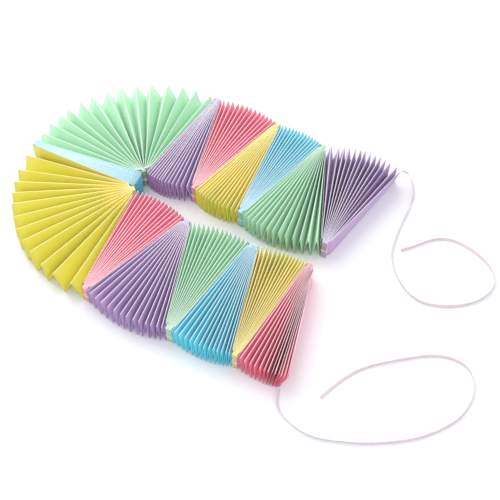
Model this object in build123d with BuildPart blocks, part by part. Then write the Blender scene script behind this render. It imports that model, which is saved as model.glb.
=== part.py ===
from build123d import *
import os
from math import cos, pi, radians, sin, sqrt, tan

# Paper fan garland. Fifteen accordion-pleated fans are glued side to side, with their pinched ends on
# alternate sides of the chain. The chain is bent into a U and lies on the lower folds of its pleats. A flat
# thread binds each pinched end through its stack of panels, and a ribbon leaves each end of the chain.
# X runs along the rows of the U, towards its open end, and Z is up from the surface that it lies on.

# Paper. The space between two panels closes towards the stack in a hollow curve, and flat facets cut it off
# straight, so the panels are drawn at this share of their thickness where they enter the stack.
fold_length = 100.0
panel_width = 20.5
paper_thickness = 0.1
root_share = 0.3

# Each fan, from the pink end of the chain to the purple end: its angle of opening, how much wider its
# pinched end is than the stack and its thread, and its number of pleats. The pleats of one wide open fan
# crowd towards its middle, by at most this share of its angle.
openings = (20.5, 21.0, 23.5, 26.0, 37.0, 25.5, 94.5, 5.5, 104.0, 20.5, 29.5, 21.5, 21.0, 38.0, 36.0)
pinch_slacks = (1.8, 1.3, 4.5, 2.4, 2.7, 1.9, 2.3, 1.4, 0.1, 1.8, 0.3, 0.7, 0.8, 0.3, 2.0)
pleat_counts = (14, 14, 14, 14, 14, 14, 13, 14, 15, 14, 14, 14, 14, 14, 14)
crowdings = {7: 0.038}
colours = ("pink", "yellow", "blue", "green", "purple")
first_side_heading = -76.6

# Free end panels, whose lower folds lie this much further in than their upper ones at the rim
pink_end_lean = 7.5
purple_end_lean = 4.5

# Binding of a pinched end, whose pressed stack reaches a little way in between the open panels
bound_length = 4.0
stack_overlap = 0.1
thread_thickness = 0.5
thread_width = 1.2
thread_depth = 2.5
thread_level = 9.5
thread_clearance = 0.05
thread_corner = 0.2

# Ribbons, each glued on the outer face of a free end panel and lying on its edge beyond it. A route is a
# list of steps from the point where the ribbon leaves the panel, and a fall gives the shares of that point's
# height that its first points keep. An arc takes this share of the shorter of its two runs.
ribbon_width = 3.0
ribbon_thickness = 0.3
glued_length = 12.0
glue_gap = 0.05
level_tolerance = 0.001
arc_share = 0.45
pink_exit_level = 3.0
pink_fall = (1.0, 0.4)
pink_route = (
    (1.5, -6.5), (3, -12), (7, -17), (13, -21), (21, -24), (31, -26), (43.5, -25), (58, -20), (75, -13.5),
    (92, -4), (107, 6.5), (119, 19), (128, 32), (132, 44), (132.5, 56), (130, 67), (124.5, 75.5), (115, 79.5),
    (103, 79), (90, 73.5), (75.5, 63.5), (62, 53), (50.5, 42.5), (42, 30.5), (36, 18), (31, 5.5),
)
purple_exit_level = 15.0
purple_fall = (1.0, 0.87, 0.68, 0.45, 0.23, 0.07)
purple_route = (
    (1, 3), (4, 4.5), (8, 4), (12, 0.5), (16, -5), (18, -13), (18.5, -24), (18, -38), (19, -53), (20.5, -67),
    (26, -79.5), (35.5, -91), (47, -100), (61, -103.5), (76, -99.5), (90, -92), (101, -80.5), (107, -67.5),
    (105.5, -55.5), (97.5, -46), (86, -40), (72.5, -36), (59, -36), (47.5, -41.5), (39.5, -51), (33.5, -58),
    (27.5, -64),
)

os.makedirs("parts", exist_ok=True)

count = len(openings)
lying_level = ribbon_width / 2


def name_of(number):
    """Number and colour of a fan, as its parts are named."""
    return f"{number:02d}_{colours[(number - 1) % len(colours)]}"


def stack_width(number):
    """Width of a fan's panels, pressed together at its pinched end."""
    return 2 * pleat_counts[number - 1] * paper_thickness


def pinch_gap(number):
    """Distance between a fan's two sides at its pinched end: stack, a thread at each side and slack."""
    return stack_width(number) + 2 * (thread_thickness + thread_clearance) + pinch_slacks[number - 1]


def free_side(number):
    """-1 or 1 for the free side of a fan that ends the chain, left or right, and 0 for any other fan."""
    ends = {1: -1, count: 1 if count % 2 == 1 else -1}
    return ends.get(number, 0)


def end_lean(number):
    """How far a fan's free end panel leans out at the rim, and 0 for a fan between two others."""
    leans = {1: pink_end_lean, count: purple_end_lean}
    return leans.get(number, 0)


def turned(length, heading):
    """A level step of a length along a heading."""
    return Vector(length, 0, 0).rotate(Axis.Z, heading)


def chain_places():
    """Middle of each fan's pinched end and the heading of its axis, in order along the chain."""
    places = []
    inner_end = Vector(0, 0, 0)
    heading = first_side_heading
    for number in range(1, count + 1):
        pinched_inside = number % 2 == 1
        turn = -openings[number - 1] if pinched_inside else openings[number - 1]
        gap = turned(pinch_gap(number), heading + turn / 2 - 90)
        if pinched_inside:
            places.append((inner_end + gap / 2, heading + turn / 2))
            inner_end = inner_end + gap
        else:
            outer_end = inner_end + turned(fold_length, heading)
            places.append((outer_end + gap / 2, heading + turn / 2 + 180))
            inner_end = outer_end + gap - turned(fold_length, heading + turn)
        heading = heading + turn
    return places


def fold_lines(number):
    """Starts, rim ends and crossways directions of a fan's fold lines, seen from above.

    The lines start in the stack and spread evenly over the rim. The first two and last two lines bound the
    upright panels that are glued to the neighbouring fans. At a free end of the chain nothing holds the
    panels upright, and their lower folds lie further in.
    """
    last = 2 * pleat_counts[number - 1]
    half_angle = radians(openings[number - 1] / 2)
    half_paper = paper_thickness / 2
    half_stack = stack_width(number) / 2 - half_paper
    half_gap = pinch_gap(number) / 2
    starts, ends, across = [], [], []
    for line in range(last + 1):
        share = min(max((line - 1) / (last - 2), 0), 1)
        crowded_share = share + crowdings.get(number, 0) * sin(2 * pi * share)
        angle = half_angle * (2 * crowded_share - 1)
        crossways = Vector(cos(angle), -sin(angle), 0)
        spread = 2 * crowded_share - 1
        end = Vector(spread * half_gap + fold_length * sin(angle), fold_length * cos(angle), 0)
        if line < 2 or line > last - 2:
            side = -1 if line < 2 else 1
            inset = half_paper if line in (0, last) else paper_thickness
            start = Vector(side * (half_gap + bound_length * tan(half_angle) - inset), bound_length, 0)
            end = end - crossways * inset * side
        else:
            start = Vector(half_stack * (2 * (line - 2) / (last - 4) - 1), bound_length, 0)
        if line % 2 == 1 and free_side(number) != 0:
            closeness = share if free_side(number) == 1 else 1 - share
            end = end - crossways * free_side(number) * end_lean(number) * closeness**2
        starts.append(start)
        ends.append(end)
        across.append(crossways)
    return starts, ends, across


def folded_section(lines, across, thickness):
    """The sheet cut across its fold lines: left, right and inner corner of its thickness at each fold.

    A fold is two thicknesses wide, and its inner corner lies one thickness in.
    """
    last = len(lines) - 1
    runs = [(lines[line + 1] - lines[line]).dot(across[line]) for line in range(last)]
    levels = []
    for line in range(last + 1):
        before = runs[max(line - 1, 0)]
        after = runs[min(line, last - 1)]
        levels.append(0 if line % 2 == 1 else sqrt(panel_width**2 - (before**2 + after**2) / 2))
    slopes = [runs[line] / max(levels[line], levels[line + 1]) for line in range(last)]
    left, right, inner = [], [], []
    for line in range(last + 1):
        up = Vector(0, 0, levels[line])
        half_width = thickness / 2 if line in (0, last) else thickness
        left.append(lines[line] - across[line] * half_width + up)
        right.append(lines[line] + across[line] * half_width + up)
        if line == 0:
            inner.append(left[0])
        elif line == last:
            inner.append(right[last])
        else:
            shift = thickness * (slopes[line] - slopes[line - 1]) / 2
            rise = thickness if line % 2 == 1 else -thickness
            inner.append(lines[line] + across[line] * shift + up + Vector(0, 0, rise))
    return left, right, inner


def sheet_sections(number):
    """A fan's sheet cut across its fold lines where they leave the stack and at the rim."""
    starts, ends, across = fold_lines(number)
    parallel = [Vector(1, 0, 0)] * len(starts)
    root = folded_section(starts, parallel, root_share * paper_thickness)
    return root, folded_section(ends, across, paper_thickness)


def panel_edges(section, line):
    """Upper and lower edge, from the lower fold up, of a section's panel between a fold and the next."""
    left, right, inner = section
    if line % 2 == 0:
        return (inner[line + 1], right[line]), (left[line + 1], inner[line])
    return (inner[line], left[line + 1]), (right[line], inner[line + 1])


def flat(*corners):
    """A flat face between its corners."""
    return Face(Wire.make_polygon(corners))


def facets(first, second, third, fourth):
    """Two flat faces that fill four corners."""
    return [flat(first, second, third), flat(first, third, fourth)]


def pleated_sheet(number):
    """A fan's folded sheet as one closed solid, from its stack to its rim."""
    root, rim = sheet_sections(number)
    last = len(root[0]) - 1
    faces = []
    for line in range(last):
        root_upper, root_lower = panel_edges(root, line)
        rim_upper, rim_lower = panel_edges(rim, line)
        faces += facets(root_upper[0], rim_upper[0], rim_upper[1], root_upper[1])
        faces += facets(root_lower[0], rim_lower[0], rim_lower[1], root_lower[1])
        faces += [flat(root_upper[0], root_upper[1], root_lower[1], root_lower[0])]
        faces += facets(rim_upper[0], rim_upper[1], rim_lower[1], rim_lower[0])
    for line in range(last + 1):
        faces += facets(root[0][line], rim[0][line], rim[1][line], root[1][line])
        if 0 < line < last:
            faces += [flat(section[0][line], section[1][line], section[2][line]) for section in (root, rim)]
    return Solid(Shell(faces))


def chain_centre():
    """Middle, seen from above, of the box around all the fans."""
    corners = []
    for number, (middle, heading) in enumerate(chain_places(), 1):
        _, (left, right, _) = sheet_sections(number)
        corners += [middle + corner.rotate(Axis.Z, heading - 90) for corner in left + right]
    span_x = [corner.X for corner in corners]
    span_y = [corner.Y for corner in corners]
    return Vector((min(span_x) + max(span_x)) / 2, (min(span_y) + max(span_y)) / 2, 0)


def end_face(number, level):
    """Plane of a ribbon on a free end panel, just past the rim: X points out of it and Z along its folds."""
    side = free_side(number)
    root, rim = [section[0 if side < 0 else 1] for section in sheet_sections(number)]
    upper = 0 if side < 0 else len(rim) - 1
    lower = upper - side
    lengthways = (rim[lower] - root[lower]).normalized()
    edge = rim[upper] - rim[lower]
    outwards = lengthways.cross(edge).normalized() * side
    rim_point = rim[lower] + edge * level / edge.Z
    point = rim_point + outwards * (glue_gap + ribbon_thickness / 2) + lengthways * ribbon_thickness
    face = Plane(point, x_dir=outwards, z_dir=lengthways)
    return Plane(fan_planes[number].location * face.location)


def route_points(start, steps, fall):
    """Points of a ribbon's route, from where it leaves its panel down to where it lies on its edge."""
    shares = fall + (0,) * (len(steps) - len(fall))
    return [start] + [
        Vector(start.X + step_x, start.Y + step_y, lying_level + share * (start.Z - lying_level))
        for (step_x, step_y), share in zip(steps, shares)
    ]


def arc_radii(points):
    """Radius of the arc at each inner point of a route, from the shorter of its two runs and its turn."""
    radii = []
    for before, corner, after in zip(points, points[1:], points[2:]):
        turn = (corner - before).get_angle(after - corner)
        shorter = min((corner - before).length, (after - corner).length)
        radii.append(arc_share * shorter / tan(radians(turn / 2)))
    return radii


def stretches(route):
    """A ribbon's route in two: the stretch that comes down from the panel and the one that lies flat."""
    lowest = lying_level + level_tolerance
    falling = [edge for edge in route.edges() if max((edge @ 0).Z, (edge @ 1).Z) > lowest]
    lying = [edge for edge in route.edges() if max((edge @ 0).Z, (edge @ 1).Z) <= lowest]
    return Wire(falling), Wire(lying)


centre = chain_centre()
fan_planes = {
    number: Plane(origin=middle - centre, x_dir=turned(1, heading - 90), z_dir=(0, 0, 1))
    for number, (middle, heading) in enumerate(chain_places(), 1)
}

for number, fan_plane in fan_planes.items():
    # Pleated sheet with its bound stack and the slot through it
    width = stack_width(number)
    slot_height = thread_width + 2 * thread_clearance
    slot_depth = thread_thickness + 2 * thread_clearance
    with BuildPart(fan_plane) as fan:
        add(pleated_sheet(number))
        with Locations((0, (bound_length + stack_overlap) / 2, panel_width / 2)):
            Box(width, bound_length + stack_overlap, panel_width)
        with Locations((0, thread_depth, thread_level)):
            Box(2 * width, slot_depth, slot_height, mode=Mode.SUBTRACT)
    fan.part.label = f"fan_{name_of(number)}"
    export_step(fan.part, f"parts/{fan.part.label}.step")

    # Thread, as one flat loop through the slot and round the pinched end
    loop_width = width + 2 * thread_thickness
    inside_depth = thread_depth - thread_thickness / 2
    loop_depth = inside_depth + 2 * thread_thickness
    with BuildPart() as thread:
        with BuildSketch(fan_plane.offset(thread_level - thread_width / 2)) as loop:
            with Locations((0, inside_depth / 2)):
                Rectangle(loop_width, loop_depth)
                chamfer(loop.vertices(), thread_corner)
                Rectangle(width, inside_depth, mode=Mode.SUBTRACT)
        extrude(amount=thread_width)
    thread.part.label = f"thread_{name_of(number)}"
    export_step(thread.part, f"parts/{thread.part.label}.step")

# Ribbons, each with its glued stretch and the free stretch that lies on its edge
ribbons = {
    "ribbon_pink_end": (1, pink_exit_level, pink_route, pink_fall),
    "ribbon_purple_end": (count, purple_exit_level, purple_route, purple_fall),
}
for name, (number, level, steps, fall) in ribbons.items():
    face = end_face(number, level)
    points = route_points(face.origin, steps, fall)
    radii = arc_radii(points)
    with BuildPart() as ribbon:
        with BuildSketch(face.offset(ribbon_thickness)):
            Rectangle(ribbon_thickness, ribbon_width)
        extrude(amount=-(glued_length + ribbon_thickness))
        with BuildLine() as route:
            FilletPolyline(*points, radius=radii)
        for stretch in stretches(route.wire()):
            forwards = stretch % 0
            with BuildSketch(Plane(stretch @ 0, x_dir=forwards.cross(Vector(0, 0, 1)), z_dir=forwards)):
                Rectangle(ribbon_thickness, ribbon_width)
            sweep(path=stretch, binormal=stretch.moved(Location((0, 0, ribbon_width))))
    ribbon.part.label = name
    export_step(ribbon.part, f"parts/{name}.step")
    exit_place = tuple(round(value, 2) for value in face.origin)
    length = route.wire().length
    swept = length * ribbon_width * ribbon_thickness
    print(name, "leaves its panel at", exit_place, "free length", round(length, 1))
    print("volume", round(ribbon.part.volume, 1), "section times length", round(swept, 1))
    print("arc radii", [round(radius, 1) for radius in radii])
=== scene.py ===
import math

import bpy
import numpy as np
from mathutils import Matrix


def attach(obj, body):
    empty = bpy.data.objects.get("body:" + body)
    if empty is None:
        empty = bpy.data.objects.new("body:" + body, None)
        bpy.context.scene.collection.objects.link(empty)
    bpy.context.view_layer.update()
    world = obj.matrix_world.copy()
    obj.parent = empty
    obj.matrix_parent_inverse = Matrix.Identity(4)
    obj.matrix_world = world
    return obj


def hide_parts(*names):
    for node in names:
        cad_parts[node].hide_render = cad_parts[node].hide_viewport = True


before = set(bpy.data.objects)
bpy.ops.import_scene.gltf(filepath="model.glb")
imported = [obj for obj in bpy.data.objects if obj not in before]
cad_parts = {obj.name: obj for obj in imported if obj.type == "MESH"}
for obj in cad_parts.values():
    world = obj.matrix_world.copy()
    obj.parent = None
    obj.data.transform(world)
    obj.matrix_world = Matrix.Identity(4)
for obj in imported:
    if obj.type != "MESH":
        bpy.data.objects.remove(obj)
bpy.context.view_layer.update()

# Paper fan garland. Fifteen accordion-pleated fans are glued side to side, with their pinched ends on
# alternate sides of the chain. Sizes are in millimetres and angles in degrees, as in the part, and meshes
# are turned into metres when they are made.
metres = 0.001

# Paper
fold_length = 100.0
panel_width = 20.5
paper_thickness = 0.1
colours = ("pink", "yellow", "blue", "green", "purple")

# Each fan from the pink end: angle of opening, slack of its pinched end and number of pleats
openings = (20.5, 21.0, 23.5, 26.0, 37.0, 25.5, 94.5, 5.5, 104.0, 20.5, 29.5, 21.5, 21.0, 38.0, 36.0)
pinch_slacks = (1.8, 1.3, 4.5, 2.4, 2.7, 1.9, 2.3, 1.4, 0.1, 1.8, 0.3, 0.7, 0.8, 0.3, 2.0)
pleat_counts = (14, 14, 14, 14, 14, 14, 13, 14, 15, 14, 14, 14, 14, 14, 14)
first_side_heading = -76.6

# Middle of the fans, counted from the inner end of the first side. The part's origin lies there.
chain_centre = np.array([-120.514, 9.098])

# Free end panels, whose lower folds lie this much further in than their upper ones at the rim
pink_end_lean = 7.5
purple_end_lean = 4.5

# Binding of a pinched end. The panels leave the pressed stack between the two distances of the flare. The
# thread goes round twice. A turn's two plies make half turns about each other, and the groove between them
# is twice the swell's share of its radius deep.
bound_length = 4.0
flare = (2.5, 5.5)
thread_thickness = 0.5
thread_width = 1.2
thread_depth = 2.5
thread_level = 9.5
thread_clearance = 0.05
turn_depth = thread_depth + thread_thickness / 2
turn_corner = 0.35
ply_half_turns = 9
ply_swell = 0.14

# How a hand-folded sheet differs from a perfect one, at most: a fold is off its place by this share of the
# mean distance to the next, a panel bows by this share of its run, and an upper fold lies this much too low
uneven_spacing = 0.2
uneven_bow = 0.16
uneven_level = 0.35

# Spacing of each fan's folds, from the left as seen from its pinched end. A positive skew spreads them on
# the left and crowds them on the right. Where a rim shows more, its spacing gives folds, as shares of their
# number, and the shares of the fan's angle at which they stand.
skews = (-0.35, 0.2, -0.2, 0, -0.2, 0, 0, 0, 0, 0, 0, 0.25, 0, 0.25, 0)
even_spacing = ((0, 1), (0, 1))
spacings = {
    7: ((0, 0.125, 0.4, 0.875, 1), (0, 0.163, 0.43, 0.837, 1)),
    9: ((0, 0.036, 0.25, 0.464, 1), (0, 0.057, 0.246, 0.446, 1)),
    10: ((0, 0.071, 0.143, 0.286, 0.5, 1), (0, 0.14, 0.24, 0.41, 0.61, 1)),
    15: ((0, 0.04, 0.115, 0.885, 0.96, 1), (0, 0.06, 0.155, 0.82, 0.92, 1)),
}

# How far the middle of each fan's rim reaches past an arc, and how much further its lower folds do
bulges = (0.5, 1.0, 0.5, 1.0, 0.5, 2.0, 1.7, 0.5, 0.5, 2.5, 2.0, 1.0, 2.0, 1.0, 3.6)
foot_bulge = 1.5

# Share of the slack of its pinched end that a stack takes up, as its panels aren't pressed quite flat
stack_looseness = 0.8

# Rounded folds. Each way from its middle, the outer side of a fold is this wide, or this share of a shorter
# run, and falls by a share of that. The paper is drawn thinner where a run has no room for it. The inner
# side is narrower by a share of the thickness, and at least another share of it wide.
crown_width = 0.17
crown_room = 0.5
crown_fall = 0.4
paper_room = 0.85
inner_pull = 0.85
least_inner_width = 0.1

# Columns of a fold, each way from its middle, and of a panel, as shares of the way from one fold to the next
fold_spread = np.array([-1.0, 0.0, 1.0])
panel_shares = np.array([0.03, 0.12, 0.32, 0.5, 0.68, 0.88, 0.97])
columns_per_fold = len(fold_spread) + len(panel_shares)

# Stations along a fold: in the binding, how many beyond it, and the number of the first one past the flare
bound_stations = np.array([0, 0.2, 1.2, 2.2, 2.9, 3.4, bound_length])
free_stations = 19
station_growth = 1.6
first_free_station = len(bound_stations) + 1

# Ribbons, which leave the end panels at these points and lie on one edge. A route is a list of steps from
# that point, a fall gives the shares of its height that the first steps keep, and the rolls say how far the
# ribbon leans over, in radians, at distances along it. The glued length ends in a gap before the point, and
# along the settling length after it the ribbon turns upright.
ribbon_width = 3.0
ribbon_thickness = 0.16
ribbon_cup = 0.12
ribbon_columns = 7
glued_length = 12.0
glued_gap = 1.0
glued_points = 8
settling_length = 14.0
lying_level = ribbon_width / 2
pink_exit = np.array([137.77, -108.11, 2.93])
pink_fall = (1.0, 0.4)
pink_route = (
    (1.5, -6.5), (3, -12), (7, -17), (13, -21), (21, -24), (31, -26), (43.5, -25), (58, -20), (75, -13.5),
    (92, -4), (107, 6.5), (119, 19), (128, 32), (132, 44), (132.5, 56), (130, 67), (124.5, 75.5),
    (115, 79.5), (103, 79), (90, 73.5), (75.5, 63.5), (62, 53), (50.5, 42.5), (42, 30.5), (36, 18),
    (31, 5.5),
)
pink_rolls = (
    (12, 0), (15, -0.9), (28, -1.0), (40, -0.1), (90, -0.1), (110, 0.2), (170, 0.3), (200, 0), (225, -0.1),
    (245, -0.6), (265, -0.3), (285, 0), (305, -0.5), (325, -1.0), (348, -1.0),
)
purple_exit = np.array([146.65, 110.45, 14.96])
purple_fall = (1.0, 0.87, 0.68, 0.45, 0.23, 0.07)
purple_route = (
    (1, 3), (4, 4.5), (8, 4), (12, 0.5), (16, -5), (18, -13), (18.5, -24), (18, -38), (19, -53), (20.5, -67),
    (26, -79.5), (35.5, -91), (47, -100), (61, -103.5), (76, -99.5), (90, -92), (101, -80.5), (107, -67.5),
    (105.5, -55.5), (97.5, -46), (86, -40), (72.5, -36), (59, -36), (47.5, -41.5), (39.5, -51), (33.5, -58),
    (27.5, -64),
)
purple_rolls = (
    (12, 0), (20, -0.3), (28, -0.9), (42, -0.9), (52, 0), (95, 0.2), (125, 0.1), (160, 0.5), (180, 0.6),
    (200, 0), (240, -0.2), (265, -0.7), (285, -0.2), (300, 0), (324, -0.2),
)

# Camera, fitted to the photograph's frame of 500 by 500 pixels
view_azimuth = -26.301
view_elevation = 56.634
view_distance = 797.56
view_target = (62.82, -7.19, 0.0)
focal_pixels = 971.42
frame_pixels = 500
sensor_width = 36.0

# Studio: each lamp's place and size in metres, its power in watts and its tint, the surround and the floor
lamps = {
    "key": ((-0.85, 0.6, 1.1), 1.7, 21.0, (1.0, 1.0, 0.98)),
    "fill": ((0.6, -0.9, 1.3), 1.6, 6.5, (0.98, 0.99, 1.0)),
}
surround_tint = (0.94, 0.95, 1.0, 1)
surround_strength = 0.85
floor_half = 3000.0
floor_drop = 0.05


def photo_camera():
    """Camera at the photograph's viewing angle: it looks along its azimuth, counted from +Y, and down."""
    azimuth, elevation = math.radians(view_azimuth), math.radians(view_elevation)
    forward = np.array([
        math.sin(azimuth) * math.cos(elevation),
        math.cos(azimuth) * math.cos(elevation),
        -math.sin(elevation),
    ])
    data = bpy.data.cameras.new("photo_camera")
    data.sensor_width = sensor_width
    data.lens = focal_pixels * sensor_width / frame_pixels
    data.clip_end = 20
    camera = bpy.data.objects.new("photo_camera", data)
    camera.location = (np.array(view_target) - forward * view_distance) * metres
    camera.rotation_euler = (math.radians(90) - elevation, 0, -azimuth)
    bpy.context.scene.collection.objects.link(camera)
    bpy.context.scene.camera = camera


class Shade:
    """A socket of a material's node tree. Arithmetic on it adds Math nodes."""

    def __init__(self, tree, socket=None):
        self.tree = tree
        self.socket = socket

    def add(self, kind, settings, values, output=0):
        """Adds a node: its type, its settings, and the value or link of each of its sockets."""
        node = self.tree.nodes.new(kind)
        for name, setting in settings.items():
            setattr(node, name, setting)
        for name, value in values.items():
            if isinstance(value, Shade):
                self.tree.links.new(value.socket, node.inputs[name])
            else:
                node.inputs[name].default_value = value
        return Shade(self.tree, node.outputs[output] if node.outputs else None)

    def math(self, operation, *values):
        """Adds a Math node that does this operation on these values."""
        return self.add("ShaderNodeMath", {"operation": operation}, dict(enumerate(values)))

    def __add__(self, other):
        return self.math("ADD", self, other)

    def __sub__(self, other):
        return self.math("SUBTRACT", self, other)

    def __rsub__(self, other):
        return self.math("SUBTRACT", other, self)

    def __mul__(self, other):
        return self.math("MULTIPLY", self, other)

    def __truediv__(self, other):
        return self.math("DIVIDE", self, other)

    __radd__ = __add__
    __rmul__ = __mul__

    def clamped(self):
        """The value held between 0 and 1."""
        return self.add("ShaderNodeClamp", {}, {"Value": self})

    def noise(self, size, detail=2.0):
        """Noise over a vector in metres, with features of about this size in millimetres."""
        scale = 1 / (size * metres)
        return self.add("ShaderNodeTexNoise", {}, {"Vector": self, "Scale": scale, "Detail": detail})

    def mixed(self, first, second):
        """Colour between two others, by this value."""
        kinds = {"data_type": "RGBA", "clamp_factor": True}
        return self.add("ShaderNodeMix", kinds, {0: self, 6: first, 7: second}, output=2)


def new_material(name):
    """An empty material and the Shade that adds its nodes."""
    material = bpy.data.materials.new(name)
    material.use_nodes = True
    material.node_tree.nodes.clear()
    return material, Shade(material.node_tree)


def finish_material(shade, bump_height, bump_depth, sockets):
    """Principled surface with a bump of this depth in millimetres, linked to the material's output."""
    bump = shade.add("ShaderNodeBump", {}, {"Height": bump_height, "Distance": bump_depth * metres})
    surface = shade.add("ShaderNodeBsdfPrincipled", {}, {"Normal": bump, **sockets})
    shade.add("ShaderNodeOutputMaterial", {}, {"Surface": surface})


def surface_map(shade, name):
    """The two values that a piece's UV map holds for each place on it."""
    values = shade.add("ShaderNodeUVMap", {"uv_map": name}, {})
    first = values.add("ShaderNodeSeparateXYZ", {}, {"Vector": values}, output="X")
    second = values.add("ShaderNodeSeparateXYZ", {}, {"Vector": values}, output="Y")
    return first, second


def colour(red, green, blue):
    """Linear colour, with alpha, from the 0 to 255 values seen on a screen."""
    channels = np.array([red, green, blue]) / 255
    linear = np.where(channels <= 0.04045, channels / 12.92, ((channels + 0.055) / 1.055) ** 2.4)
    return (*linear.tolist(), 1.0)


# Coloured papers: the sheet where its folds are crowded and where they are wide apart, two tones of one dye
# that paint light by how the crowded grooves and the open pleats are lit, and its paler tone along the
# folds, where the colour is worn off and a painted highlight lies on the crease
paper_tones_with_painted_light = {
    "pink": (colour(251, 139, 164), colour(244, 133, 160), colour(255, 228, 234)),
    "yellow": (colour(252, 233, 97), colour(232, 223, 90), colour(255, 249, 186)),
    "blue": (colour(108, 222, 238), colour(112, 224, 240), colour(232, 250, 254)),
    "green": (colour(186, 238, 200), colour(196, 237, 204), colour(232, 248, 234)),
    "purple": (colour(190, 160, 205), colour(188, 160, 205), colour(248, 240, 250)),
}
# Grey of the cut edges: partly the cut paper's own grey, partly painted shade in the gaps between stacked
# sheets
cut_edge_and_gap_shade_tone = colour(196, 182, 178)

# Wear and painted highlight. The pale line along a fold, partly colour worn off the crease and partly a
# painted highlight on it, has this width, or this share of a shorter run. It is whole up to the core's share
# of its width and ends one width further out. A fainter, broader paling reaches further: painted light on
# the upper folds with painted shade towards the valleys. Both are whole up to the whole wear's run and fade
# out over the fading run past it. The paper's first tone gives way to the second along the tone's change
# past the crowded run, a painted change of light, and under the cut edge's run it turns greyer, partly the
# cut edge's own grey and partly painted shade in the gaps between the stacked sheets.
wear_and_highlight_width = 0.5
wear_and_highlight_share = 0.8
wear_and_highlight_core = 0.4
painted_ridge_light_width = 4.0
painted_ridge_light_strength = 0.2
whole_wear_and_highlight_run = 2.25
fading_run = 9.0
crowded_lit_run = 1.5
lit_tone_change = 0.5
cut_edge_and_gap_shade_run = 0.08


def paper_material(name):
    """Matte coloured paper with fine fibres, paler along its folds.

    The UV map folds holds, in millimetres, the distance from the nearest upper fold and the run from one
    fold to the next, which is 0 on the cut edges at the pinched end. Wear and a painted highlight fall off
    with the first, are narrower where the folds are crowded and weaker where they are far apart, and noise
    varies them; a broader paling near the upper folds is painted light, with painted shade towards the
    valleys. The tone's change with the run is painted light. The cut edges are greyer, partly their own grey
    and partly painted shade between the stacked sheets.
    """
    material, shade = new_material(f"{name}_paper")
    crowded_lit_tone, wide_lit_tone, wear_and_highlight_tone = paper_tones_with_painted_light[name]
    place = shade.add("ShaderNodeTexCoord", {}, {}, output="Object")
    from_fold, run = surface_map(shade, "folds")
    patches = place.noise(4.0, 3.0)
    fibres = place.noise(0.25, 4.0)
    # Pale line along each fold: partly colour worn off the crease, partly a painted highlight on it
    line = run.math("MINIMUM", run * wear_and_highlight_share, wear_and_highlight_width)
    wear_and_highlight = (1 + wear_and_highlight_core - from_fold / line).clamped() * (0.9 + patches * 0.15)
    # Broad paling near the upper folds: painted light on them, with painted shade towards the valleys
    wear_and_highlight = wear_and_highlight + (1 - from_fold / painted_ridge_light_width).clamped() * painted_ridge_light_strength
    wear_and_highlight = wear_and_highlight * (1 + whole_wear_and_highlight_run / fading_run - run / fading_run).clamped()
    # Tone by fold spacing is painted light: one dye, lighter or darker by how crowded and open pleats are
    # lit
    spacing_lit_tone = (run - crowded_lit_run) * (1 / lit_tone_change) + patches * 0.2 - 0.1
    spacing_lit_tone = spacing_lit_tone.clamped().mixed(crowded_lit_tone, wide_lit_tone)
    tone = wear_and_highlight.clamped().mixed(spacing_lit_tone, wear_and_highlight_tone)
    # Greyer cut edges: partly their own grey, partly painted shade between the stacked sheets
    tone = ((1 - run / cut_edge_and_gap_shade_run).clamped() * 0.5).mixed(tone, cut_edge_and_gap_shade_tone)
    finish_material(shade, fibres + patches * 0.5, 0.008, {
        "Base Color": tone,
        "Roughness": 0.72 + fibres * 0.16,
        "Specular IOR Level": 0.28,
        "Sheen Weight": 0.3,
    })
    return material


def thread_material():
    """Off-white cotton: fine fibres, a little darker between them."""
    material, shade = new_material("cotton_thread")
    place = shade.add("ShaderNodeTexCoord", {}, {}, output="Object")
    fibres = place.noise(0.12, 3.0)
    tone = fibres.mixed(colour(214, 200, 196), colour(250, 244, 238))
    finish_material(shade, fibres, 0.03, {
        "Base Color": tone,
        "Roughness": 0.85,
        "Specular IOR Level": 0.2,
        "Sheen Weight": 0.3,
    })
    return material


def ribbon_material():
    """Pale pink satin: fine ribs across its width, woven threads along it and paler edges.

    The UV map weave holds, in millimetres, the distance across the ribbon from its middle and along it.
    """
    rib_pitch, thread_pitch = 0.4, 0.3
    edge_width, edge_blend = 0.35, 0.2
    material, shade = new_material("satin_ribbon")
    across, along = surface_map(shade, "weave")
    place = shade.add("ShaderNodeTexCoord", {}, {}, output="Object")
    ribs = along.math("SINE", along * (2 * math.pi / rib_pitch))
    lines = across.math("SINE", across * (2 * math.pi / thread_pitch))
    edge = (across.math("ABSOLUTE", across) - ribbon_width / 2 + edge_width) / edge_blend
    patches = place.noise(6.0)
    tone = patches.mixed(colour(212, 192, 199), colour(231, 214, 219))
    tone = edge.clamped().mixed(tone, colour(242, 233, 235))
    finish_material(shade, ribs * 0.5 + lines * 0.3, 0.02, {
        "Base Color": tone,
        "Roughness": 0.38 + patches * 0.1,
        "Specular IOR Level": 0.5,
        "Sheen Weight": 0.2,
    })
    return material


def floor_material():
    """Matte white paper for the floor, with a trace of unevenness."""
    material, shade = new_material("floor")
    place = shade.add("ShaderNodeTexCoord", {}, {}, output="Object")
    grain = place.noise(2.0)
    tone = grain.mixed((0.86, 0.86, 0.875, 1), (0.88, 0.88, 0.89, 1))
    finish_material(shade, grain, 0.005, {"Base Color": tone, "Roughness": 0.9, "Specular IOR Level": 0.1})
    return material


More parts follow.
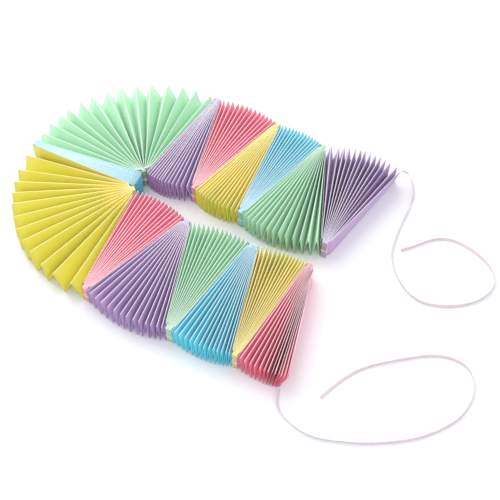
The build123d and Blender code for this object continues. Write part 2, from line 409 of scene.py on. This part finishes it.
def new_piece(name, points, quads, material, uv_name=None, uv=None):
    """Mesh object at the origin from vertices in millimetres, faces of four and a UV for each vertex."""
    mesh = bpy.data.meshes.new(name)
    mesh.vertices.add(len(points))
    mesh.vertices.foreach_set("co", (points * metres).astype(np.float32).ravel())
    mesh.loops.add(quads.size)
    mesh.loops.foreach_set("vertex_index", quads.astype(np.int32).ravel())
    mesh.polygons.add(len(quads))
    mesh.polygons.foreach_set("loop_start", np.arange(0, quads.size, 4, dtype=np.int32))
    mesh.polygons.foreach_set("loop_total", np.full(len(quads), 4, dtype=np.int32))
    mesh.polygons.foreach_set("use_smooth", np.ones(len(quads), dtype=bool))
    mesh.update(calc_edges=True)
    if uv is not None:
        layer = mesh.uv_layers.new(name=uv_name)
        layer.data.foreach_set("uv", uv[quads.ravel()].astype(np.float32).ravel())
    mesh.materials.append(material)
    piece = bpy.data.objects.new(name, mesh)
    bpy.context.scene.collection.objects.link(piece)
    return piece


def corners(*grids):
    """Rows of corner numbers for faces whose corners lie at the same place in each of these grids."""
    return np.stack(grids, axis=-1).reshape(-1, 4)


def shell_faces(columns, stations):
    """Faces of a closed sheet: an upper and a lower grid of one size and the four edges between them."""
    upper, lower = np.arange(2 * columns * stations).reshape(2, columns, stations)
    return np.concatenate([
        corners(upper[:-1, :-1], upper[1:, :-1], upper[1:, 1:], upper[:-1, 1:]),
        corners(lower[:-1, :-1], lower[:-1, 1:], lower[1:, 1:], lower[1:, :-1]),
        corners(upper[:-1, -1], upper[1:, -1], lower[1:, -1], lower[:-1, -1]),
        corners(upper[:-1, 0], lower[:-1, 0], lower[1:, 0], upper[1:, 0]),
        corners(upper[0, :-1], upper[0, 1:], lower[0, 1:], lower[0, :-1]),
        corners(upper[-1, :-1], lower[-1, :-1], lower[-1, 1:], upper[-1, 1:]),
    ])


def smooth_step(low, high, values):
    """0 below the low value, 1 above the high one, and 3 s² - 2 s³ of the share s in between."""
    share = np.clip((values - low) / (high - low), 0, 1)
    return share * share * (3 - 2 * share)


def unit(vectors):
    """Vectors of length 1 in the same directions."""
    return vectors / np.linalg.norm(vectors, axis=-1, keepdims=True)


def distances_along(path):
    """Distance along a path of points at each of them."""
    return np.concatenate([[0], np.cumsum(np.linalg.norm(np.diff(path, axis=0), axis=-1))])


def heading_step(heading):
    """Unit step along a heading."""
    return np.array([math.cos(math.radians(heading)), math.sin(math.radians(heading))])


def stack_width(number):
    """Width of a fan's panels, pressed together at its pinched end."""
    return 2 * pleat_counts[number - 1] * paper_thickness


def pinch_gap(number):
    """Distance between a fan's two sides at its pinched end."""
    return stack_width(number) + 2 * (thread_thickness + thread_clearance) + pinch_slacks[number - 1]


def loose_width(number):
    """Width that a fan's pinched stack takes up in its gap, with its share of the slack."""
    return stack_width(number) + stack_looseness * pinch_slacks[number - 1]


def chain_places():
    """Middle of each fan's pinched end and the heading of its axis, in order along the chain.

    Odd fans turn the chain clockwise about their inner ends, and even fans turn it back about their outer
    ends. Each side of the chain is one fold long.
    """
    places = []
    inner_end = -chain_centre
    heading = first_side_heading
    for number, opening in enumerate(openings, 1):
        turn = -opening if number % 2 == 1 else opening
        gap = pinch_gap(number) * heading_step(heading + turn / 2 - 90)
        if number % 2 == 1:
            places.append((inner_end + gap / 2, heading + turn / 2))
            inner_end = inner_end + gap
        else:
            outer_end = inner_end + fold_length * heading_step(heading)
            places.append((outer_end + gap / 2, heading + turn / 2 + 180))
            inner_end = outer_end + gap - fold_length * heading_step(heading + turn)
        heading += turn
    return places


def end_lean(number):
    """Side and size of the lean of a free end panel, and nothing for a fan between two others."""
    leans = {1: (-1, pink_end_lean), len(openings): (1, purple_end_lean)}
    return leans.get(number, (0, 0.0))


def fold_stations():
    """Distances along the folds from the pinched end.

    Past the binding they grow as a power of the share of their number.
    """
    share = np.arange(1, free_stations + 1) / free_stations
    beyond = bound_length + (fold_length - bound_length) * share**station_growth
    return np.concatenate([bound_stations, beyond])


def fold_angles(number, last, chance):
    """Of a fan's fold lines: even shares s, sin(pi s), and shares of the fan's angle at which they stand.

    The first two and last two lines follow the fan's sides. The even shares go through the fan's spacing,
    the skew adds its value times sin(pi s) / pi, and chance adds or takes a share of the mean distance.
    """
    line = np.arange(last + 1)
    share = np.clip((line - 1) / (last - 2), 0, 1)
    inner = (line > 1) & (line < last - 1)
    jitter = np.where(inner, chance.uniform(-1, 1, last + 1) * uneven_spacing / last, 0)
    hump = np.sin(math.pi * share)
    spaced = np.interp(share, *spacings.get(number, even_spacing))
    return share, hump, spaced + skews[number - 1] / math.pi * hump + jitter


def fold_lines(number, stations, chance):
    """Plan of a fan's fold lines as lines by stations by (x, y), and their directions across.

    A line starts in the pressed stack, and along the flare it swings out to a straight line at its own
    angle, from its own place in the pinched gap. The first and last line lie half a paper inside the fan's
    sides, and the next ones a whole paper. A line is longer by the bulge times the root of sin(pi s), and a
    lower fold by the foot's bulge times sin(pi s) more. At a free end the lower folds lean in with the
    square of their closeness to it, and evenly more from the binding to the rim.
    """
    last = 2 * pleat_counts[number - 1]
    share, hump, spaced = fold_angles(number, last, chance)
    half_paper = paper_thickness / 2
    half_stack = loose_width(number) / 2 - half_paper
    line = np.arange(last + 1)
    lower = line % 2 == 1
    angle = math.radians(openings[number - 1] / 2) * (2 * spaced - 1)
    across = np.stack([np.cos(angle), -np.sin(angle)], axis=-1)
    side = np.where(line < 2, -1, np.where(line > last - 2, 1, 0))
    inset = side * np.where((line == 0) | (line == last), half_paper, paper_thickness)

    reach = bulges[number - 1] * np.sqrt(np.abs(hump)) + np.where(lower, foot_bulge, 0) * hump
    along = stations * (1 + reach / fold_length)[:, None]
    free_x = ((2 * spaced - 1) * pinch_gap(number) / 2 - inset)[:, None] + np.sin(angle)[:, None] * along
    free_y = np.cos(angle)[:, None] * along
    pressed_x = (half_stack * (2 * line / last - 1))[:, None]
    opened = smooth_step(flare[0], flare[1], stations)
    x = pressed_x + (free_x - pressed_x) * opened
    y = stations + (free_y - stations) * opened

    free_side, lean = end_lean(number)
    closeness = share if free_side == 1 else 1 - share
    leaning = np.where(lower, free_side * lean * closeness**2, 0)[:, None]
    leaning = leaning * np.clip((stations - bound_length) / (fold_length - bound_length), 0, 1)
    plan = np.stack([x, y], axis=-1) - across[:, None] * leaning[..., None]
    return plan, across


def fold_levels(before, after, freedom, chance):
    """Heights of the folds, from the run before and after each of them.

    Lower folds lie at level 0. An upper fold's height is the root of the panel's width squared less the mean
    square of its two runs, and chance takes a little off it.
    """
    top = np.sqrt(panel_width**2 - (before**2 + after**2) / 2)
    top = top - chance.uniform(0, uneven_level, (len(top), 1)) * freedom
    return np.where((np.arange(len(top)) % 2 == 0)[:, None], top, 0)


def fold_columns(plan, across, level, room):
    """Three columns of points at each fold, on the upper and lower surface, and their distances from it.

    A fold is widest on its outer side, which is above at an upper fold. On its inner side the columns lie
    one paper deep, close together. The outer columns of the first and last fold are the sheet's side edges,
    and their other side is twice as wide. The folds next to them are only as wide as the paper is thick.
    """
    spread = fold_spread[None, :, None]
    thick = np.minimum(paper_thickness, paper_room * room)
    outer_width = np.minimum(crown_width, crown_room * room)
    outer_width[[0, -1]] = np.minimum(2 * crown_width, room[[0, -1]])
    outer_width[[1, -2]] = thick[[1, -2]]
    inner_width = np.maximum(outer_width - inner_pull * thick, least_inner_width * thick)
    side_edge = thick[0, 0] / 2
    outer_offset = spread * outer_width
    inner_offset = spread * inner_width
    outer_offset[0, 0], outer_offset[-1, 2] = -side_edge, side_edge
    inner_offset[0, 0], inner_offset[-1, 2] = -side_edge, side_edge
    from_middle = np.abs(spread) * outer_width
    outer_rise = -crown_fall * from_middle
    is_upper = (np.arange(len(plan)) % 2 == 0)[:, None, None]

    def folded(offset, rise):
        """Points three columns wide at each fold, from their offsets across it and their rises."""
        flat = plan[:, None] + across[:, None, None] * offset[..., None]
        return np.concatenate([flat, (level[:, None] + rise)[..., None]], axis=-1)

    upper = folded(np.where(is_upper, outer_offset, inner_offset),
                   np.where(is_upper, outer_rise, thick))
    lower = folded(np.where(is_upper, inner_offset, outer_offset),
                   np.where(is_upper, -thick, -outer_rise))
    return upper, lower, from_middle


def with_panels(folds, sideways):
    """Fold columns and the panel columns between them, in order across the sheet.

    A panel's columns lie on straight lines between two folds, moved sideways by the offsets given.
    """
    start, end = folds[:-1, -1:], folds[1:, :1]
    panel = start + (end - start) * panel_shares[None, :, None, None] + sideways
    joined = np.concatenate([folds[:-1], panel], axis=1).reshape(-1, *folds.shape[2:])
    return np.concatenate([joined, folds[-1]])


def fold_distances(from_middle, run, stations):
    """Distance from the nearest upper fold and the run between two folds, at each place on the sheet.

    A fold and the panel after it have the shorter of the two runs beside the fold. The panels at the fan's
    sides count as the ones next to them, and the run is 0 on the cut edge at the pinched end.
    """
    last = len(run)
    is_upper = (np.arange(last + 1) % 2 == 0)[:, None, None]
    on_folds = np.where(is_upper, from_middle, panel_width - from_middle)
    on_panels = np.where(is_upper[:-1], panel_shares[:, None], 1 - panel_shares[:, None]) * panel_width
    on_panels = np.broadcast_to(on_panels, (last, len(panel_shares), len(stations)))
    from_fold = np.concatenate([on_folds[:-1], on_panels], axis=1).reshape(-1, len(stations))
    from_fold = np.concatenate([from_fold, on_folds[-1]])
    inner_run = run[np.clip(np.arange(last), 1, last - 2)]
    shorter = np.minimum(np.concatenate([inner_run[:1], inner_run]),
                         np.concatenate([inner_run, inner_run[-1:]]))
    between = np.repeat(shorter, columns_per_fold, axis=0)[:len(from_fold)]
    return np.stack([from_fold, np.where(stations > 0, between, 0)], axis=-1)


def sheet_surfaces(number, chance):
    """A fan's pleated sheet as its upper and lower surface, on a grid of columns by stations.

    Between its folds the panels bow by a sine of the way across them. Also gives the distances that the
    paper's material reads.
    """
    stations = fold_stations()
    plan, across = fold_lines(number, stations, chance)
    run = np.linalg.norm(np.diff(plan, axis=0), axis=-1)
    before = np.concatenate([run[:1], run])
    after = np.concatenate([run, run[-1:]])
    freedom = smooth_step(bound_length, fold_length / 2, stations)
    level = fold_levels(before, after, freedom, chance)
    upper, lower, from_middle = fold_columns(plan, across, level, np.minimum(before, after)[:, None])

    bow = chance.uniform(-1, 1, (len(run), 1, 1)) * uneven_bow
    bow = bow * np.sin(math.pi * panel_shares)[None, :, None] * (run * freedom)[:, None, :]
    sideways = np.concatenate([across[:-1], np.zeros((len(run), 1))], axis=-1)[:, None, None]
    sideways = sideways * bow[..., None]
    distances = fold_distances(from_middle, run, stations)
    return with_panels(upper, sideways), with_panels(lower, sideways), distances


def placed(points, place):
    """Points of a fan's own frame, whose Y runs from the pinched end to the rim, moved to its place."""
    middle, heading = place
    along = heading_step(heading)
    sideways = np.array([along[1], -along[0]])
    flat = middle + points[..., :1] * sideways + points[..., 1:2] * along
    return np.concatenate([flat, points[..., 2:]], axis=-1)


def fan_piece(number, place, material):
    """A fan's pleated sheet, with the distances from and between its folds in its UV map."""
    upper, lower, distances = sheet_surfaces(number, np.random.default_rng(number))
    points = placed(np.stack([upper, lower]), place)
    faces = shell_faces(*upper.shape[:2])
    uv = np.stack([distances, distances]).reshape(-1, 2)
    return new_piece(f"paper_fan_{number:02d}", points.reshape(-1, 3), faces, material, "folds", uv)


def thread_path(number):
    """One turn round a pinched end, a rectangle with round corners: its points and distances along it."""
    steps = 160
    corner_points = 7
    width = loose_width(number) + thread_thickness
    turn = np.linspace(0, math.pi / 2, corner_points)
    arc = np.stack([np.cos(turn), np.sin(turn)], axis=-1) * turn_corner
    quarter = np.array([[0, -1], [1, 0]])
    reach = np.array([width / 2 - turn_corner, turn_depth / 2 - turn_corner])
    path = np.concatenate([
        arc + reach,
        arc @ quarter.T + reach * (-1, 1),
        -arc - reach,
        -arc @ quarter.T + reach * (1, -1),
    ])
    path = np.concatenate([path, path[:1]])
    length = distances_along(path)
    distance = np.linspace(0, length[-1], steps, endpoint=False)
    x = np.interp(distance, length, path[:, 0])
    y = np.interp(distance, length, path[:, 1])
    return np.stack([x, y], axis=-1), distance


def thread_loop(number, place, rise):
    """One turn of two-ply thread round a pinched end, as a grid of path points by profile points.

    The profile is a circle whose radius swells at two opposite plies that turn with the distance along the
    path.
    """
    sides = 12
    radius = thread_width / 4
    path, distance = thread_path(number)
    forwards = unit(np.roll(path, -1, axis=0) - np.roll(path, 1, axis=0))
    outwards = np.stack([forwards[:, 1], -forwards[:, 0]], axis=-1)
    round_profile = np.linspace(0, 2 * math.pi, sides, endpoint=False)
    plies = 2 * math.pi * distance / distance[-1] * ply_half_turns
    swell = radius * (1 - ply_swell + ply_swell * np.cos(2 * round_profile - plies[:, None]))
    flat = path[:, None] + outwards[:, None] * (np.cos(round_profile) * swell)[..., None]
    flat = flat + np.array([0, thread_depth - turn_depth / 2])
    level = thread_level + rise + np.sin(round_profile) * swell
    return placed(np.concatenate([flat, level[..., None]], axis=-1), place)


def thread_piece(number, place, material):
    """Two turns of thread that bind a pinched end, one above the other."""
    loops = [thread_loop(number, place, rise) for rise in (-thread_width / 4, thread_width / 4)]
    steps, sides = loops[0].shape[:2]
    index = np.arange(steps * sides).reshape(steps, sides)
    ahead = np.roll(index, -1, axis=0)
    faces = corners(index, np.roll(index, -1, axis=1), np.roll(ahead, -1, axis=1), ahead)
    faces = np.concatenate([faces, faces + steps * sides])
    points = np.concatenate(loops).reshape(-1, 3)
    return new_piece(f"binding_thread_{number:02d}", points, faces, material)


def ribbon_line(name, exit_point, steps, fall):
    """Smooth line of a free ribbon: a NURBS spline with the route's points as its control points."""
    shares = np.array(fall + (0,) * (len(steps) - len(fall)))
    level = lying_level + shares * (exit_point[2] - lying_level)
    route = np.column_stack([exit_point[:2] + np.array(steps), level])
    route = np.concatenate([exit_point[None], route]) * metres
    curve = bpy.data.curves.new(f"{name}_line", "CURVE")
    curve.dimensions = "3D"
    curve.resolution_u = 12
    spline = curve.splines.new("NURBS")
    spline.points.add(len(route) - 1)
    spline.points.foreach_set("co", np.column_stack([route, np.ones(len(route))]).ravel())
    spline.order_u = 3
    spline.use_endpoint_u = True
    line = bpy.data.objects.new(f"{name}_line", curve)
    mesh = bpy.data.meshes.new_from_object(line)
    points = np.empty(len(mesh.vertices) * 3, dtype=np.float32)
    mesh.vertices.foreach_get("co", points)
    bpy.data.objects.remove(line)
    bpy.data.curves.remove(curve)
    bpy.data.meshes.remove(mesh)
    return points.reshape(-1, 3).astype(float) / metres


def free_face(number, place):
    """Outer face of a free end panel: its lengthways direction and its edge's direction at the rim."""
    _, lower, _ = sheet_surfaces(number, np.random.default_rng(number))
    side, _ = end_lean(number)
    fold = 0 if side < 0 else -1
    foot = fold - side * columns_per_fold
    rim_top, rim_foot = placed(lower[fold, -1], place), placed(lower[foot, -1], place)
    root_foot = placed(lower[foot, first_free_station], place)
    return unit(rim_foot - root_foot), unit(rim_top - rim_foot)


def ribbon_frames(path, distance, edge, rolls):
    """Directions across and square to a ribbon at each point of its path, and how far its middle is lowered.

    Its width follows the panel's edge where it is glued and stands upright beyond, turned about its line by
    the rolls.
    """
    forwards = unit(np.gradient(path, distance, axis=0))
    upright = smooth_step(glued_length, glued_length + settling_length, distance)[:, None]
    width_way = edge * (1 - upright) + np.array([0, 0, 1.0]) * upright
    width_way -= forwards * np.sum(width_way * forwards, axis=-1, keepdims=True)
    width_way = unit(width_way)
    face_way = np.cross(width_way, forwards)
    roll = np.interp(distance, *zip(*rolls))
    across = width_way * np.cos(roll)[:, None] + face_way * np.sin(roll)[:, None]
    square = face_way * np.cos(roll)[:, None] - width_way * np.sin(roll)[:, None]
    return across, square, lying_level * (1 - np.abs(np.cos(roll)))


def ribbon_piece(name, number, place, exit_point, steps, fall, rolls, material):
    """A ribbon: its glued end, and its free length standing on one edge and leaning over in places.

    Its section is a shallow parabola across its width, with its thickness set off square to that.
    """
    line = ribbon_line(name, exit_point, steps, fall)
    lengthways, edge = free_face(number, place)
    glued = exit_point - lengthways * np.linspace(glued_length, glued_gap, glued_points)[:, None]
    path = np.concatenate([glued, line])
    distance = distances_along(path)
    across, square, lowering = ribbon_frames(path, distance, edge, rolls)
    path = path - np.array([0, 0, 1.0]) * lowering[:, None]
    width = np.linspace(-0.5, 0.5, ribbon_columns) * ribbon_width
    cupped = ribbon_cup * (1 - (2 * width / ribbon_width) ** 2)
    middle = path + across * width[:, None, None] + square * cupped[:, None, None]
    thickness = square * ribbon_thickness / 2
    points = np.stack([middle + thickness, middle - thickness])
    weave = np.stack(np.broadcast_arrays(width[:, None], distance[None, :]), axis=-1)
    weave = np.broadcast_to(weave, (2, *weave.shape)).reshape(-1, 2)
    faces = shell_faces(*points.shape[1:3])
    piece = new_piece(name, points.reshape(-1, 3), faces, material, "weave", weave)
    return piece, path


def studio():
    """White floor, soft light from the left and back, a weaker one from the front and an even surround."""
    floor_points = floor_half * np.array([[-1, -1, 0], [1, -1, 0], [1, 1, 0], [-1, 1, 0]])
    floor = new_piece("floor", floor_points - (0, 0, floor_drop), np.array([[0, 1, 2, 3]]), floor_material())
    for name, (place, size, power, tint) in lamps.items():
        data = bpy.data.lights.new(name, "AREA")
        data.size = size
        data.energy = power
        data.color = tint
        light = bpy.data.objects.new(name, data)
        light.location = place
        aim = -np.array(place)
        tilt = math.atan2(math.hypot(aim[0], aim[1]), -aim[2])
        light.rotation_euler = (tilt, 0, math.atan2(aim[1], aim[0]) - math.pi / 2)
        bpy.context.scene.collection.objects.link(light)
    world = bpy.data.worlds.new("surround")
    world.use_nodes = True
    world.node_tree.nodes["Background"].inputs["Color"].default_value = surround_tint
    world.node_tree.nodes["Background"].inputs["Strength"].default_value = surround_strength
    bpy.context.scene.world = world


photo_camera()
bpy.context.scene.view_settings.view_transform = "Standard"
studio()
papers = {name: paper_material(name) for name in colours}
cotton = thread_material()
satin = ribbon_material()
places = chain_places()

ribbons = {
    "ribbon_pink_end": (1, pink_exit, pink_route, pink_fall, pink_rolls),
    "ribbon_purple_end": (len(openings), purple_exit, purple_route, purple_fall, purple_rolls),
}
for node, (number, exit_point, steps, fall, rolls) in ribbons.items():
    name = node.replace("ribbon", "satin_ribbon")
    piece, path = ribbon_piece(name, number, places[number - 1], exit_point, steps, fall, rolls, satin)
    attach(piece, "root")
    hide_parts(node)
    [tuple(point) for point in path * metres]

for number, place in enumerate(places, 1):
    name = colours[(number - 1) % len(colours)]
    piece = fan_piece(number, place, papers[name])
    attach(piece, "root")
    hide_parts(f"fan_{number:02d}_{name}")
    binding = thread_piece(number, place, cotton)
    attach(binding, "root")
    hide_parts(f"thread_{number:02d}_{name}")
